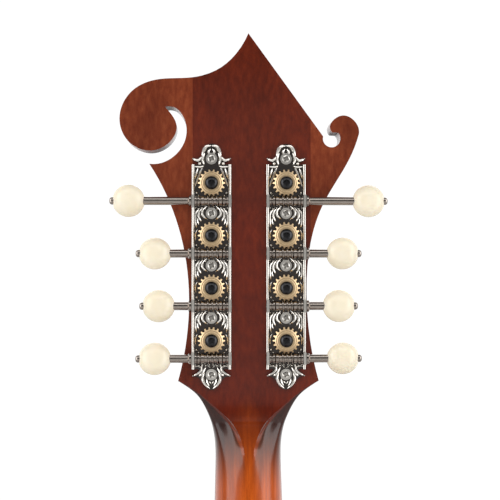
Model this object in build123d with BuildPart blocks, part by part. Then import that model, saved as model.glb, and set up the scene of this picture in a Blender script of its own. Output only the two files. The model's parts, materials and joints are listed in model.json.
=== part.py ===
from build123d import *
from math import cos, pi, radians, sin, sqrt
import os

# F-style mandolin. +Z runs up the neck to the headstock, -Y is the front with the strings,
# +X is the treble side. The origin is on the neck's fingerboard face at the nut. All in mm.

SCALE_LENGTH = 352.4
NUT_WIDTH = 28.6
NECK_JOINT = 204.2          # from the nut to the body, at the fifteenth fret
NECK_TILT = 6.0             # neck leans back from the soundboard's plane
HEAD_TILT = 21.0            # headstock leans back from the soundboard's plane
BODY_TOP = -203.0           # height of the body's flat neck seat
RIB_FRONT = 13.0            # the ribs' front edge lies this far forward of the origin
RIB_BACK = 23.0             # the ribs' back edge lies this far behind it
RIM = 4.0                   # thickness of both carved plates at the rim
FRONT_ARCH = 12.0           # rise of the soundboard's arch over its rim
BACK_ARCH = 10.0
PLATE_WOOD = 4.2            # the carved plates' thickness inside the rim
RIB_WOOD = 2.5

CORE = 13.0                 # headstock wood without the face veneer
VENEER = 2.0
NUT_DEEP = 5.0              # nut measured along the neck
BOARD = 5.0                 # fingerboard thickness
GLUE_TREBLE = 24.7          # the headstock wings are glued on at these two planes
GLUE_BASS = -27.4

POST_X = 16.4
POST_PITCH = 23.0
POST_FIRST = 44.1           # the post nearest the nut
POST_RADIUS = 3.0
POST_WAIST = 2.2            # the post's narrow part that the string winds on
TEETH = 18
GEAR_TIP = 5.95
GEAR_ROOT = 5.05
GEAR_THICK = 2.8
WORM_DROP = 7.85            # from a gear's centre to its worm's axis
WORM_TIP = 2.6
WORM_ROOT = 1.75
WORM_PITCH = 2 * pi * 5.5 / TEETH
PLATE = 1.0                 # tuner plate thickness
PLATE_WIDE = 17.4
PLATE_LONG = 90.0
AXLE = CORE + PLATE + 2.9   # worm axis behind the headstock's front wood face
BUTTON_RADIUS = 7.1
BUTTON_THICK = 9.4
BUTTON_OUT = (41.2, 39.5, 41.1, 52.6)   # button centres, from the nut upward

os.makedirs("parts", exist_ok=True)


def direction(tilt):
    """Upward direction leaned back by an angle."""
    return Vector(0, sin(radians(tilt)), cos(radians(tilt)))


def section_plane(up, tilt):
    """Plane across the neck or headstock, a distance up from the nut; its Y axis points back."""
    if up >= NUT_DEEP:
        start = direction(NECK_TILT) * NUT_DEEP + direction(HEAD_TILT) * (up - NUT_DEEP)
    else:
        start = direction(NECK_TILT) * up
    return Plane(origin=start, x_dir=(1, 0, 0), z_dir=direction(tilt))


front_of_neck = Vector(0, -cos(radians(NECK_TILT)), sin(radians(NECK_TILT)))
front_of_head = Vector(0, -cos(radians(HEAD_TILT)), sin(radians(HEAD_TILT)))
head_start = direction(NECK_TILT) * NUT_DEEP - direction(HEAD_TILT) * NUT_DEEP
board_plane = Plane(origin=(0, 0, 0), x_dir=(1, 0, 0), z_dir=front_of_neck)
head_plane = Plane(origin=head_start, x_dir=(1, 0, 0), z_dir=front_of_head)


def save(piece, name):
    piece.part.label = name
    export_step(piece.part, "parts/" + name + ".step")


# ---------------------------------------------------------------- headstock and neck

def head_outline():
    """Headstock outline above its shoulders, with the scroll, the tip and the small curl."""
    with BuildSketch() as shape:
        with BuildLine():
            Polyline((31.1, 26), (-31.0, 26))
            Spline((-31.0, 26), (-25.6, 64.5), (-33.0, 104.1), (-44.3, 123.5), (-48.9, 135.3))
            Spline((-48.9, 135.3), (-46.5, 141.4), (-42.3, 143.4), (-37.6, 141.4), (-36.0, 138.6),
                   (-37.2, 135.9))
            Line((-37.2, 135.9), (-39.6, 135.8))
            ThreePointArc((-39.6, 135.8), (-39.4, 130.3), (-33.0, 134.1))
            Line((-33.0, 134.1), (0.1, 179.6))
            Spline((0.1, 179.6), (5.5, 170.6), (12.6, 164.2), (25.0, 160.0), (40.9, 158.9),
                   (51.4, 153.9), (56.9, 141.5), (52.8, 131.5), (43.5, 127.6), (34.6, 131.6),
                   (31.7, 138.0), (34.9, 144.7), (36.9, 146.9))
            Spline((36.9, 146.9), (32.6, 146.6), (28.1, 140.9), (28.3, 131.5), (35.3, 123.5),
                   (43.8, 121.8))
            Spline((43.8, 121.8), (34.5, 104.1), (27.4, 77.7), (26.3, 58.0), (31.1, 26))
        make_face()
    return shape.sketch


def neck_section(plane, wide, crest, side, deep, bulge):
    """Section across the neck: a flat front, short sides, and flanks running back to a crest."""
    length = sqrt((wide - crest) ** 2 + (deep - side) ** 2)
    out = Vector((deep - side) / length, (wide - crest) / length)
    near = Vector(wide, side) * (2 / 3) + Vector(crest, deep) * (1 / 3) + out * (bulge * 0.89)
    far = Vector(wide, side) * (1 / 3) + Vector(crest, deep) * (2 / 3) + out * (bulge * 0.89)
    with BuildSketch(plane) as cut:
        with BuildLine():
            Line((-wide, 0), (wide, 0))
            Line((wide, 0), (wide, side))
            Spline((wide, side), (near.X, near.Y), (far.X, far.Y), (crest, deep))
            Line((crest, deep), (-crest, deep))
            Spline((-crest, deep), (-far.X, far.Y), (-near.X, near.Y), (-wide, side))
            Line((-wide, side), (-wide, 0))
        make_face()
    return cut.sketch.face()


# distance up from the nut, lean, half width, crest half width, side height, depth, flank bulge
TRANSITION = (
    (26, 21.0, 31.0, 30.6, 12.5, 13.0, 0.0),
    (21, 20.0, 23.6, 22.9, 11.8, 13.0, 0.0),
    (16, 17.5, 20.2, 17.6, 9.5, 13.3, -0.8),
    (10, 13.5, 17.6, 11.6, 6.5, 14.4, -1.6),
    (4, 9.5, 15.7, 6.6, 4.5, 15.4, -1.2),
    (-3, 7.0, 14.5, 3.4, 2.8, 15.5, 0.8),
    (-10, 6.0, 14.4, 1.9, 1.8, 15.5, 2.6),
    (-22, 6.0, 14.8, 1.6, 1.4, 15.6, 3.6),
)


def board_half(down):
    """Half the fingerboard's width at a distance down from the nut."""
    return NUT_WIDTH / 2 + (19.0 - NUT_WIDTH / 2) * down / NECK_JOINT


sides = (1, -1)
side_names = {1: "treble", -1: "bass"}
machines = [(side, row) for side in sides for row in range(4)]
post_places = [(side * POST_X, POST_FIRST + POST_PITCH * row) for side, row in machines]


def behind(depth):
    """Plane parallel to the headstock's front wood face, a depth behind it, facing front."""
    return head_plane.offset(-depth)


def axle_plane(side, row):
    """Plane across a worm's shaft at its middle, facing out toward the button."""
    worm_up = POST_FIRST + POST_PITCH * row - WORM_DROP
    axle = head_plane.from_local_coords(Vector(side * POST_X, worm_up, -AXLE))
    return Plane(origin=axle, x_dir=direction(HEAD_TILT) * -1, z_dir=(side, 0, 0))


def dome(base, rise, front):
    """Pear-shaped arch rising from a plate's rim; front is 1 for the soundboard, -1 for the back."""
    levels = ((1.0, -0.1), (0.93, 0.06), (0.80, 0.32), (0.62, 0.65), (0.42, 0.87), (0.22, 0.97),
              (0.06, 1.0))
    half = ((0, 143), (48, 134), (76, 104), (86, 66), (109, 20), (112, -22), (88, -77), (0, -115))
    around = list(half) + [(-x, z) for x, z in reversed(half[1:-1])]
    cuts = []
    for scale, lift in levels:
        with BuildSketch(Plane.XZ.offset(base + front * rise * lift)) as cut:
            with BuildLine():
                Spline([(x * scale, BODY_TOP - 170 + z * scale) for x, z in around], periodic=True)
            make_face()
        cuts.append(cut.sketch.face())
    with BuildPart() as shape:
        loft(sections=cuts)
    return shape.part


front_dome = dome(RIB_FRONT + RIM, FRONT_ARCH, 1)
back_dome = dome(-RIB_BACK - RIM, BACK_ARCH, -1)

# ---------------------------------------------------------------- body

def edge_band(edge, width, region):
    """Strip along one edge of a region, from 1 mm outside it to a width inside it."""
    count = 4 + round(edge.length / 10)
    steps = [step / count for step in range(count + 1)]
    turned = [(edge % step).rotate(Axis.Z, 90) for step in steps]
    inward = 1 if region.is_inside((edge @ steps[2]) + turned[2] * 0.2) else -1
    inner = [(edge @ step) + turn * (width * inward) for step, turn in zip(steps, turned)]
    outer = [(edge @ step) - turn * inward for step, turn in zip(steps, turned)]
    with BuildSketch() as band:
        with BuildLine():
            Spline(*outer)
            Line(outer[-1], inner[-1])
            Spline(*reversed(inner))
            Line(inner[0], outer[0])
        make_face()
    return band.sketch


def body_outline(inset, size=1.0):
    """Body outline with its scroll, crescent slot and two points, moved inward by an inset."""
    def at(x, below):
        return (x * size, BODY_TOP - 160 + (below + 160) * size)

    with BuildSketch() as shape:
        with BuildLine():
            Spline(at(21, 0), at(31, -11), at(50, -13), at(68, -4), at(80, 8),
                   tangents=[(0.35, -1), (0.55, 1)])
            Spline(at(80, 8), at(76, -22), at(76, -54), at(86, -90), at(104, -116), at(123, -131))
            Spline(at(123, -131), at(119.5, -146), at(126, -182), tangents=[(-0.6, -1), (0, -1)])
            EllipticalCenterArc(at(0, -182), 126 * size, 114 * size, start_angle=180, arc_size=180)
            Spline(at(-126, -182), at(-113, -126), at(-95, -92), at(-92, -58), at(-95, -18),
                   at(-91, 20), tangents=[(0, 1), (0.1, 1)])
            ThreePointArc(at(-91, 20), at(-60, 51), at(-29, 20))
            Line(at(-29, 20), at(-21, 0))
            Line(at(-21, 0), at(21, 0))
        make_face()
    region = shape.sketch.face()
    bands = []
    if inset > 0:
        bands = [edge_band(edge, inset, region) for edge in region.edges()]
    with BuildSketch() as moved:
        add(region)
        if inset > 0:
            add(bands, mode=Mode.SUBTRACT)
            with Locations([vertex.center() for vertex in region.vertices()]):
                Circle(inset, mode=Mode.SUBTRACT)
        with Locations(at(-54.4, 18)):
            Circle(32.6, mode=Mode.SUBTRACT)
        with Locations(at(-60, 20)):
            Circle(31 if inset == 0 else 30.8 - inset)
    return moved.sketch.faces().sort_by(SortBy.AREA)[-1]


BINDING = 1.5
with BuildPart() as soundboard:
    with BuildSketch(Plane.XZ.offset(RIB_FRONT)):
        add(body_outline(BINDING))
    extrude(amount=RIM)
    add(front_dome)
    add(front_dome.moved(Location((0, PLATE_WOOD, 0))), mode=Mode.SUBTRACT)
    # f-holes: a leaning waist between two round eyes
    for side in sides:
        with BuildSketch(Plane.XZ.offset(RIB_FRONT - 5)):
            with BuildLine():
                Spline((side * 50, -300), (side * 59, -322), (side * 67, -350), (side * 79, -375))
                Line((side * 79, -375), (side * 74, -379))
                Spline((side * 74, -379), (side * 61, -352), (side * 54, -325), (side * 44, -303))
                Line((side * 44, -303), (side * 50, -300))
            make_face()
            with Locations((side * 45.5, -308)):
                Circle(5.0)
            with Locations((side * 79, -369)):
                Circle(6.0)
        extrude(amount=40, mode=Mode.SUBTRACT)

with BuildPart() as back_plate:
    with BuildSketch(Plane.XZ.offset(-RIB_BACK - RIM)):
        add(body_outline(0))
    extrude(amount=RIM)
    add(back_dome)
    add(back_dome.moved(Location((0, -PLATE_WOOD, 0))), mode=Mode.SUBTRACT)

with BuildPart() as binding:
    with BuildSketch(Plane.XZ.offset(RIB_FRONT)):
        add(body_outline(0))
        add(body_outline(BINDING), mode=Mode.SUBTRACT)
    extrude(amount=RIM)


# inner cavity of the body: inside the ribs and clear of the solid scroll
def cavity(inset, size=1.0):
    with BuildSketch() as shape:
        add(body_outline(inset, size))
        with Locations((-54.4, BODY_TOP + 18)):
            Circle(37.0, mode=Mode.SUBTRACT)
        with Locations((-66, BODY_TOP + 14)):
            Circle(40.0, mode=Mode.SUBTRACT)
    return shape.sketch


with BuildPart() as ribs:
    with BuildSketch(Plane.XZ.offset(-RIB_BACK)):
        add(body_outline(0))
        add(cavity(RIB_WOOD), mode=Mode.SUBTRACT)
        with Locations((-60, BODY_TOP + 20)):
            Circle(25, mode=Mode.SUBTRACT)
    extrude(amount=RIB_FRONT + RIB_BACK)
    # opening for the neck's tenon
    with BuildSketch(Plane.XZ.offset(-RIB_BACK)):
        with Locations((0, BODY_TOP)):
            Rectangle(22, 12)
    extrude(amount=RIB_FRONT + RIB_BACK, mode=Mode.SUBTRACT)
    # opening for the end pin
    with Locations((0, 5, BODY_TOP - 296)):
        Cylinder(3.5, 12, mode=Mode.SUBTRACT)

with BuildPart() as rib_blocks:
    with BuildSketch(Plane.XZ.offset(-RIB_BACK)):
        add(cavity(RIB_WOOD))
        with BuildSketch(mode=Mode.PRIVATE) as block_places:
            with Locations((6, BODY_TOP - 12)):
                Rectangle(76, 40)
            with Locations((0, BODY_TOP - 296)):
                Rectangle(70, 36)
            with Locations((119, BODY_TOP - 131)):
                Rectangle(26, 26, rotation=45)
        add(block_places.sketch, mode=Mode.INTERSECT)
    extrude(amount=RIB_FRONT + RIB_BACK)
    # the scroll's own block
    with BuildSketch(Plane.XZ.offset(-RIB_BACK)):
        with Locations((-60, BODY_TOP + 20)):
            Circle(25)
    extrude(amount=RIB_FRONT + RIB_BACK)
    # mortise for the neck's tenon
    with Locations((0, (RIB_BACK - RIB_FRONT) / 2, BODY_TOP - 8)):
        Box(22, RIB_FRONT + RIB_BACK, 17, mode=Mode.SUBTRACT)
    with Locations((0, 5, BODY_TOP - 296)):
        Cylinder(3.5, 60, mode=Mode.SUBTRACT)

with BuildPart() as tone_bars:
    # two bars fitted under the soundboard's arch
    for side in sides:
        with BuildSketch(Plane.XZ.offset(RIB_FRONT - 6)):
            with Locations(Location((side * 24, BODY_TOP - 165), side * 4)):
                Rectangle(6, 170)
        extrude(amount=30)
    add(front_dome.moved(Location((0, PLATE_WOOD + 0.05, 0))), mode=Mode.INTERSECT)
    add(front_dome.moved(Location((0, PLATE_WOOD + 9.0, 0))), mode=Mode.SUBTRACT)

with BuildPart() as linings:
    # bent strips along both edges of the ribs
    for start in (RIB_FRONT, -RIB_BACK + 7):
        with BuildSketch(Plane.XZ.offset(start)):
            add(cavity(RIB_WOOD))
            add(cavity(RIB_WOOD, 0.965), mode=Mode.SUBTRACT)
            with Locations((6, BODY_TOP - 12)):
                Rectangle(76.4, 40.4, mode=Mode.SUBTRACT)
            with Locations((0, BODY_TOP - 296)):
                Rectangle(70.4, 36.4, mode=Mode.SUBTRACT)
            with Locations((119, BODY_TOP - 131)):
                Rectangle(26.4, 26.4, rotation=45, mode=Mode.SUBTRACT)
        extrude(amount=-7)


# ---------------------------------------------------------------- neck and headstock

with BuildPart() as heel:
    with BuildSketch(Plane.YZ):
        with BuildLine():
            Line((-20.9, BODY_TOP), (RIB_BACK + RIM, BODY_TOP))
            Line((RIB_BACK + RIM, BODY_TOP), (RIB_BACK + RIM, BODY_TOP + 5))
            Spline((RIB_BACK + RIM, BODY_TOP + 5), (13.0, BODY_TOP + 13), (2.0, BODY_TOP + 33),
                   (-2.6, BODY_TOP + 60))
            Line((-2.6, BODY_TOP + 60), (-14.6, BODY_TOP + 60))
            Line((-14.6, BODY_TOP + 60), (-20.9, BODY_TOP))
        make_face()
    extrude(amount=20, both=True)
    with BuildSketch(Plane.XY.offset(BODY_TOP - 1)):
        with BuildLine():
            Line((18.4, -22), (-18.4, -22))
            Line((-18.4, -22), (-18.4, -16))
            Spline((-18.4, -16), (-16.4, 0), (-13.2, 15), (-11.0, 27.1))
            Line((-11.0, 27.1), (11.0, 27.1))
            Spline((11.0, 27.1), (13.2, 15), (16.4, 0), (18.4, -16))
            Line((18.4, -16), (18.4, -22))
        make_face()
    extrude(amount=70, mode=Mode.INTERSECT)

ROD_DEEP = 6.0              # truss rod's centre below the fingerboard face
ROD_RADIUS = 2.4

with BuildPart() as neck:
    with BuildSketch(head_plane):
        add(head_outline())
        with Locations(((GLUE_TREBLE + GLUE_BASS) / 2, 100)):
            Rectangle(GLUE_TREBLE - GLUE_BASS, 200, mode=Mode.INTERSECT)
    extrude(amount=-CORE)
    loft(sections=[neck_section(section_plane(up, tilt), wide, crest, side, deep, bulge)
                   for up, tilt, wide, crest, side, deep, bulge in TRANSITION])
    loft(sections=[neck_section(section_plane(-down, NECK_TILT), board_half(down), 1.6, 1.4,
                                15.3 + down * 0.013, 3.6 + down * 0.004)
                   for down in (22, 75, 130, 202)])
    add(heel.part)
    # front and back faces planed flat
    with BuildSketch(board_plane):
        with Locations((0, -32.5)):
            Rectangle(90, 75)
    extrude(amount=25, mode=Mode.SUBTRACT)
    with BuildSketch(head_plane):
        with Locations((0, 22)):
            Rectangle(90, 34)
    extrude(amount=8, mode=Mode.SUBTRACT)
    with BuildSketch(behind(CORE)):
        with Locations((0, 26)):
            Rectangle(90, 12)
    extrude(amount=-3, mode=Mode.SUBTRACT)
    # tongue that carries the fingerboard over the arch
    with BuildSketch(Plane.YZ):
        Polygon((-21.3, BODY_TOP), (-26.4, -251), (-17.1, -251), (-17.1, BODY_TOP), align=None)
    extrude(amount=18.4, both=True)
    add(front_dome, mode=Mode.SUBTRACT)
    # tenon
    with Locations((0, 4, BODY_TOP - 7)):
        Box(21.6, 34, 15)
    # truss rod bore and the pocket for its nut
    with BuildSketch(section_plane(-188, NECK_TILT)):
        with Locations((0, ROD_DEEP)):
            Circle(ROD_RADIUS + 0.05)
    extrude(amount=200, mode=Mode.SUBTRACT)
    with BuildSketch(head_plane):
        with Locations((0, 16)):
            Rectangle(10.5, 20)
    extrude(amount=-8.5, mode=Mode.SUBTRACT)
    # post holes, wider in front for the bushings
    with BuildSketch(head_plane):
        with Locations(post_places):
            Circle(4.02)
    extrude(amount=-4.2, mode=Mode.SUBTRACT)
    with BuildSketch(head_plane):
        with Locations(post_places):
            Circle(3.4)
    extrude(amount=-CORE, mode=Mode.SUBTRACT)

with BuildPart() as headstock_wings:
    with BuildSketch(head_plane):
        add(head_outline())
        with Locations(((GLUE_TREBLE + GLUE_BASS) / 2, 100)):
            Rectangle(GLUE_TREBLE - GLUE_BASS, 200, mode=Mode.SUBTRACT)
    extrude(amount=-CORE)

with BuildPart() as headstock_overlay:
    with BuildSketch(head_plane):
        add(head_outline())
        Polygon((-31, 26), (-23.6, 21), (-20.2, 16), (-17.6, 10), (-15.9, 5.1),
                (15.9, 5.1), (17.6, 10), (20.2, 16), (23.6, 21), (31.1, 26), align=None)
        with Locations(post_places):
            Circle(4.02, mode=Mode.SUBTRACT)
        with Locations((0, 16)):
            Rectangle(10.5, 20, mode=Mode.SUBTRACT)
    extrude(amount=VENEER)

with BuildPart() as post_bushings:
    with BuildSketch(head_plane.offset(-4)):
        with Locations(post_places):
            Circle(4.0)
    extrude(amount=4 + VENEER)
    with BuildSketch(head_plane.offset(VENEER)):
        with Locations(post_places):
            Circle(4.9)
    extrude(amount=1.0)
    with BuildSketch(head_plane.offset(-4)):
        with Locations(post_places):
            Circle(POST_RADIUS + 0.05)
    extrude(amount=12, mode=Mode.SUBTRACT)

with BuildPart() as truss_rod:
    with BuildSketch(section_plane(-187, NECK_TILT)):
        with Locations((0, ROD_DEEP)):
            Circle(ROD_RADIUS)
    extrude(amount=201)
    with BuildSketch(section_plane(-187, NECK_TILT).offset(195.5)):
        with Locations((0, ROD_DEEP)):
            RegularPolygon(4.2, 6)
    extrude(amount=7)

with BuildPart() as truss_rod_cover:
    with BuildSketch(head_plane.offset(VENEER)):
        with BuildLine():
            Line((-10, 6.2), (10, 6.2))
            Spline((10, 6.2), (8.6, 14), (10.6, 22), (5, 30), (0, 34))
            Spline((0, 34), (-5, 30), (-10.6, 22), (-8.6, 14), (-10, 6.2))
        make_face()
    extrude(amount=1.8)

with BuildPart() as fingerboard:
    with BuildSketch(board_plane):
        with BuildLine():
            Line((-board_half(0), 0), (board_half(0), 0))
            Line((board_half(0), 0), (board_half(286), -286))
            ThreePointArc((board_half(286), -286), (16, -290), (8, -286))
            Spline((8, -286), (0, -270), (-10, -262), (-board_half(256), -256))
            Line((-board_half(256), -256), (-board_half(0), 0))
        make_face()
    extrude(amount=BOARD)

FRET_RADIUS = 0.95


def fret_down(number):
    """Distance of a fret from the nut; each fret shortens the string by a semitone."""
    return SCALE_LENGTH * (1 - 2 ** (-number / 12))


with BuildPart() as frets:
    for number in range(1, 30):
        down = fret_down(number)
        right = board_half(down) - 0.3
        left = right if number < 22 else right - (number - 21) * 4.6
        start = board_plane.from_local_coords(Vector(-left, -down, BOARD))
        with BuildSketch(Plane(origin=start, x_dir=direction(NECK_TILT), z_dir=(1, 0, 0))):
            with BuildLine():
                Line((-FRET_RADIUS, 0), (FRET_RADIUS, 0))
                ThreePointArc((FRET_RADIUS, 0), (0, FRET_RADIUS), (-FRET_RADIUS, 0))
            make_face()
        extrude(amount=left + right)

dot_places = [(0, -(fret_down(n) + fret_down(n - 1)) / 2) for n in (3, 5, 7, 10, 15)]
dot_places += [(x, -(fret_down(12) + fret_down(11)) / 2) for x in (-8, 8)]
with BuildPart() as position_dots:
    with BuildSketch(board_plane.offset(BOARD - 1)):
        with Locations(dot_places):
            Circle(2.5)
    extrude(amount=1)
with fingerboard:
    with BuildSketch(board_plane.offset(BOARD - 1)):
        with Locations(dot_places):
            Circle(2.5)
    extrude(amount=1, mode=Mode.SUBTRACT)

with BuildPart() as nut:
    with BuildSketch(board_plane):
        with Locations((0, NUT_DEEP / 2)):
            Rectangle(NUT_WIDTH, NUT_DEEP)
    extrude(amount=7.4)


# ---------------------------------------------------------------- tuning machines

up_head = direction(HEAD_TILT)
SCREW_ROWS = [POST_FIRST + POST_PITCH * row - 13.2 + POST_PITCH for row in range(3)]
SCREW_SPOTS = [(side * POST_X, up) for side in sides for up in SCREW_ROWS + [29.1, 123.9]]

# half of each pointed end: where it starts on the plate, its wing's inner edge, and its outer edge
PLATE_FINIAL_TOP = (120, ((5.0, 121.4), (6.2, 122.3), (8.4, 123.4)),
                    ((8.4, 124.3), (5.4, 124.3), (3.7, 126.2), (3.0, 128.6), (0, 130.5)))
PLATE_FINIAL_BOTTOM = (32.5, ((5.8, 31.4), (5.6, 29.8), (8.0, 28.8)),
                       ((8.0, 28.0), (5.4, 27.4), (4.0, 25.2), (2.4, 23.2), (0, 22.3)))


def half_finial(middle, mirror_x, shape):
    """Half of a plate's pointed end, on one side of the plate's middle line."""
    start, wing, edge = shape
    wing = [(middle + mirror_x * across, up) for across, up in wing]
    edge = [(middle + mirror_x * across, up) for across, up in edge]
    root = (wing[0][0], start)
    with BuildSketch() as half:
        with BuildLine():
            Line((middle, start), root)
            Line(root, wing[0])
            Spline(*wing)
            Line(wing[-1], edge[0])
            Spline(*edge)
            Line(edge[-1], (middle, start))
        make_face()
    return half.sketch


with BuildPart() as tuner_plates:
    for side in sides:
        with BuildSketch(behind(CORE)):
            with Locations((side * POST_X, 76.4)):
                Rectangle(PLATE_WIDE, PLATE_LONG)
            for mirror_x in sides:
                add(half_finial(side * POST_X, mirror_x, PLATE_FINIAL_TOP))
                add(half_finial(side * POST_X, mirror_x, PLATE_FINIAL_BOTTOM))
        extrude(amount=-PLATE)
        # side rails
        with BuildSketch(behind(CORE)):
            with Locations((side * POST_X - 8.1, 76.4), (side * POST_X + 8.1, 76.4)):
                Rectangle(1.2, PLATE_LONG)
        extrude(amount=-PLATE - 1.2)
    # bearing lugs for the worms' shafts
    for x, up in post_places:
        with BuildSketch(behind(CORE)):
            with Locations((x - 8.1, up - WORM_DROP), (x + 8.1, up - WORM_DROP)):
                Rectangle(1.2, 5.4)
        extrude(amount=-PLATE - 5.0)
    with BuildSketch(behind(CORE)):
        with Locations(post_places):
            Circle(POST_RADIUS + 0.1)
        with Locations(SCREW_SPOTS):
            Circle(1.25)
    extrude(amount=-PLATE - 1, mode=Mode.SUBTRACT)
    for side, row in machines:
        # bearing holes: wide on the button's side, narrow on the middle's side
        with BuildSketch(axle_plane(side, row)):
            Circle(1.65)
        extrude(amount=12, mode=Mode.SUBTRACT)
        with BuildSketch(axle_plane(side, row)):
            Circle(1.15)
        extrude(amount=-12, mode=Mode.SUBTRACT)

with neck:
    with BuildSketch(behind(CORE)):
        with Locations(SCREW_SPOTS):
            Circle(1.25)
    extrude(amount=8.5, mode=Mode.SUBTRACT)

with BuildPart() as thread:
    with BuildLine():
        turns = Helix(pitch=WORM_PITCH, height=3 * WORM_PITCH, radius=WORM_ROOT - 0.1,
                      center=(0, 0, -1.5 * WORM_PITCH))
    with BuildSketch(Plane(origin=turns @ 0, x_dir=(1, 0, 0), z_dir=turns % 0)):
        Polygon((0, -0.44), (WORM_TIP - WORM_ROOT + 0.1, -0.2),
                (WORM_TIP - WORM_ROOT + 0.1, 0.2), (0, 0.44), align=None)
    sweep(path=turns, is_frenet=True)

SHAFT_STEPS = ((1.1, -8.9), (1.1, -7.4), (1.9, -7.4), (1.9, -6.6), (1.5, -6.4), (1.5, -5.9), (2.2, -5.8),
               (2.2, -5.1), (1.7, -4.9), (2.1, -4.5), (2.1, -3.4), (1.75, -3.1), (1.75, 3.1), (2.1, 3.3),
               (2.1, 4.5), (1.7, 4.8), (1.7, 5.3), (2.3, 5.4), (2.3, 6.0), (1.8, 6.2), (1.8, 6.5),
               (2.3, 6.6), (2.3, 7.3), (1.6, 7.4), (1.6, 8.85), (2.6, 8.9), (2.6, 9.8), (1.8, 10.3))
BUTTON_TURN = {1: (12, -6, 14, -9), -1: (-10, 8, -12, 6)}    # how far each button is turned, degrees

worm_shafts = {}
buttons = {}
gears = {}
string_posts = {}
for side, row in machines:
    name = side_names[side] + "_" + str(row + 1)
    out = BUTTON_OUT[row] - POST_X
    across = axle_plane(side, row)
    outward = Vector(side, 0, 0)
    with BuildPart() as upright_shaft:
        add(thread.part)
        with BuildSketch(Plane.XZ):
            with BuildLine():
                Polyline((0, -8.9), *SHAFT_STEPS, (1.8, out + 6.0), (1.65, out + 6.1), (1.65, out + 7.4))
                ThreePointArc((1.65, out + 7.4), (1.2, out + 8.15), (0.4, out + 8.4))
                Line((0.4, out + 8.4), (0, out + 8.4))
                Line((0, out + 8.4), (0, -8.9))
            make_face()
        revolve(axis=Axis.Z)
        # driver slot in the end screw
        with BuildSketch(Plane.XY.offset(out + 8.5)):
            Rectangle(2.4, 0.5)
        extrude(amount=-0.7, mode=Mode.SUBTRACT)
    with BuildPart() as worm_shaft:
        add(upright_shaft.part.moved(across.location))
    worm_shafts[name] = worm_shaft

    turn = radians(BUTTON_TURN[side][row])
    middle = across.origin + outward * out
    face_axis = front_of_head * -cos(turn) + up_head * sin(turn)
    with BuildPart() as button:
        with BuildSketch(Plane(origin=middle, x_dir=outward, z_dir=outward.cross(face_axis))):
            with BuildLine():
                Line((0, BUTTON_THICK / 2), (1, BUTTON_THICK / 2))
                ThreePointArc((1, BUTTON_THICK / 2), (4.4, 3.8), (6.5, 1.7))
                ThreePointArc((6.5, 1.7), (BUTTON_RADIUS, 0), (6.5, -1.7))
                ThreePointArc((6.5, -1.7), (4.4, -3.8), (1, -BUTTON_THICK / 2))
                Line((1, -BUTTON_THICK / 2), (0, -BUTTON_THICK / 2))
                Line((0, -BUTTON_THICK / 2), (0, BUTTON_THICK / 2))
            make_face()
        revolve(axis=Axis(middle, face_axis))
        with BuildSketch(Plane(origin=middle - outward * 9, x_dir=up_head, z_dir=outward)):
            Circle(1.82)
        extrude(amount=18, mode=Mode.SUBTRACT)
        with BuildSketch(Plane(origin=middle + outward * 6.6, x_dir=up_head, z_dir=outward)):
            Circle(2.2)
        extrude(amount=2, mode=Mode.SUBTRACT)
    buttons[name] = button

    spot = (side * POST_X, POST_FIRST + POST_PITCH * row)
    with BuildPart() as gear:
        with BuildSketch(behind(CORE + PLATE + 1.5)):
            with Locations(spot):
                Circle(GEAR_ROOT)
                with PolarLocations(GEAR_ROOT - 0.1, TEETH, start_angle=-80):
                    Polygon((0, -0.44), (GEAR_TIP - GEAR_ROOT + 0.1, -0.2),
                            (GEAR_TIP - GEAR_ROOT + 0.1, 0.2), (0, 0.44), align=None)
        extrude(amount=-GEAR_THICK)
        with BuildSketch(behind(CORE + PLATE + 1.5 + GEAR_THICK)):
            with Locations(spot):
                Circle(4.1)
        extrude(amount=-0.5)
        with BuildSketch(behind(CORE + PLATE + 1.5)):
            with Locations(spot):
                Circle(2.02)
        extrude(amount=-5, mode=Mode.SUBTRACT)
    gears[name] = gear

    centre = head_plane.from_local_coords(Vector(spot[0], spot[1], 0))
    head_back = CORE + PLATE + 1.5 + GEAR_THICK + 0.55
    with BuildPart() as string_post:
        with BuildSketch(Plane(origin=centre, x_dir=(1, 0, 0), z_dir=up_head * -1)):
            with BuildLine():
                Polyline((0, 16.5), (2.2, 16.5), (POST_RADIUS, 15.7), (POST_RADIUS, 13.6),
                         (POST_WAIST, 13.0), (POST_WAIST, 5.6), (POST_RADIUS, 5.0),
                         (POST_RADIUS, -CORE - PLATE - 0.3), (3.6, -CORE - PLATE - 0.3),
                         (3.6, -CORE - PLATE - 1.45), (2.0, -CORE - PLATE - 1.45), (2.0, -head_back),
                         (2.85, -head_back), (2.85, -head_back - 0.35))
                ThreePointArc((2.85, -head_back - 0.35), (1.9, -head_back - 1.35),
                              (0.4, -head_back - 1.7))
                Line((0.4, -head_back - 1.7), (0, -head_back - 1.7))
                Line((0, -head_back - 1.7), (0, 16.5))
            make_face()
        revolve(axis=Axis(centre, front_of_head))
        # string hole and the gear screw's cross recess
        with BuildSketch(Plane(origin=centre + front_of_head * 11.6, x_dir=(1, 0, 0), z_dir=up_head)):
            Circle(0.8)
        extrude(amount=4, both=True, mode=Mode.SUBTRACT)
        with BuildSketch(behind(head_back + 0.9)):
            with Locations(spot):
                Rectangle(2.9, 0.6, rotation=35 + 20 * row)
                Rectangle(0.6, 2.9, rotation=35 + 20 * row)
        extrude(amount=-2, mode=Mode.SUBTRACT)
    string_posts[name] = string_post


# ---------------------------------------------------------------- bridge

BRIDGE_Z = -351.0
ARCH_TOP = RIB_FRONT + RIM + FRONT_ARCH     # the soundboard's highest point, forward of the origin
BASE_TOP = ARCH_TOP + 5.5
WHEEL_BOTTOM = BASE_TOP + 2.7
WHEEL_THICK = 2.2
SADDLE_BOTTOM = WHEEL_BOTTOM + WHEEL_THICK + 0.1
SADDLE_TOP = ARCH_TOP + 17.3
STUD_X = 27.0
STUD_RADIUS = 1.6

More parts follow.
